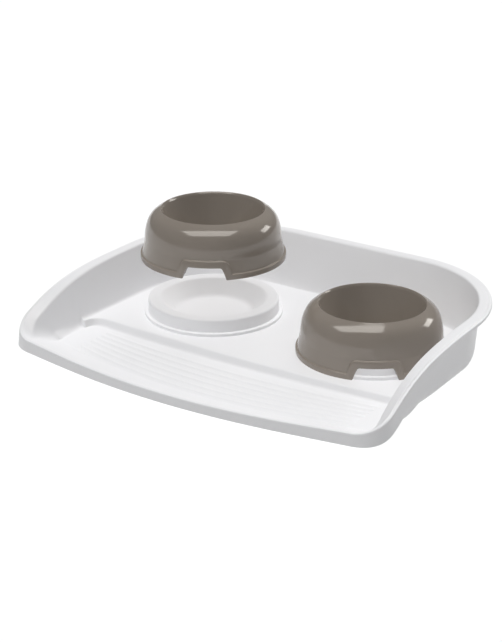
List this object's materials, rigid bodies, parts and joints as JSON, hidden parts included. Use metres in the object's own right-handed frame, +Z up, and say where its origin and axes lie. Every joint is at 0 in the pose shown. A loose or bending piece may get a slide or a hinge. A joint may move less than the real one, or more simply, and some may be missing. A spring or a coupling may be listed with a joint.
{
  "type": "double pet bowl",
  "caption": "Double pet feeder: a moulded tray with a high curved back rim, ribbed front basin and raised round seats, with notched one-piece bowls that lift off.",
  "frame": {"origin": "on the ground under the middle of the tray", "axes": "+X to the object's right seen from its ribbed front, +Y to its high back rim, +Z up"},
  "size_m": [0.4668, 0.3908, 0.1357],
  "materials": {
    "tray_plastic": "white moulded plastic with a soft gloss",
    "bowl_plastic": "glossy taupe moulded plastic",
    "foot_rubber": "matt dark grey rubber"
  },
  "bodies": {
    "tray": {"tray": "tray_plastic", "foot_front_left": "foot_rubber", "foot_front_right": "foot_rubber", "foot_back_left": "foot_rubber", "foot_back_right": "foot_rubber"},
    "left_bowl": {"left_bowl": "bowl_plastic"},
    "right_bowl": {"right_bowl": "bowl_plastic"}
  },
  "joints": [
    {"name": "left_bowl_lift", "type": "slide", "parent": "tray", "child": "left_bowl", "axis": [0, 0, 1], "range_m": [-0.0675, 0.04]},
    {"name": "right_bowl_lift", "type": "slide", "parent": "tray", "child": "right_bowl", "axis": [0, 0, 1], "range_m": [0, 0.1]}
  ]
}
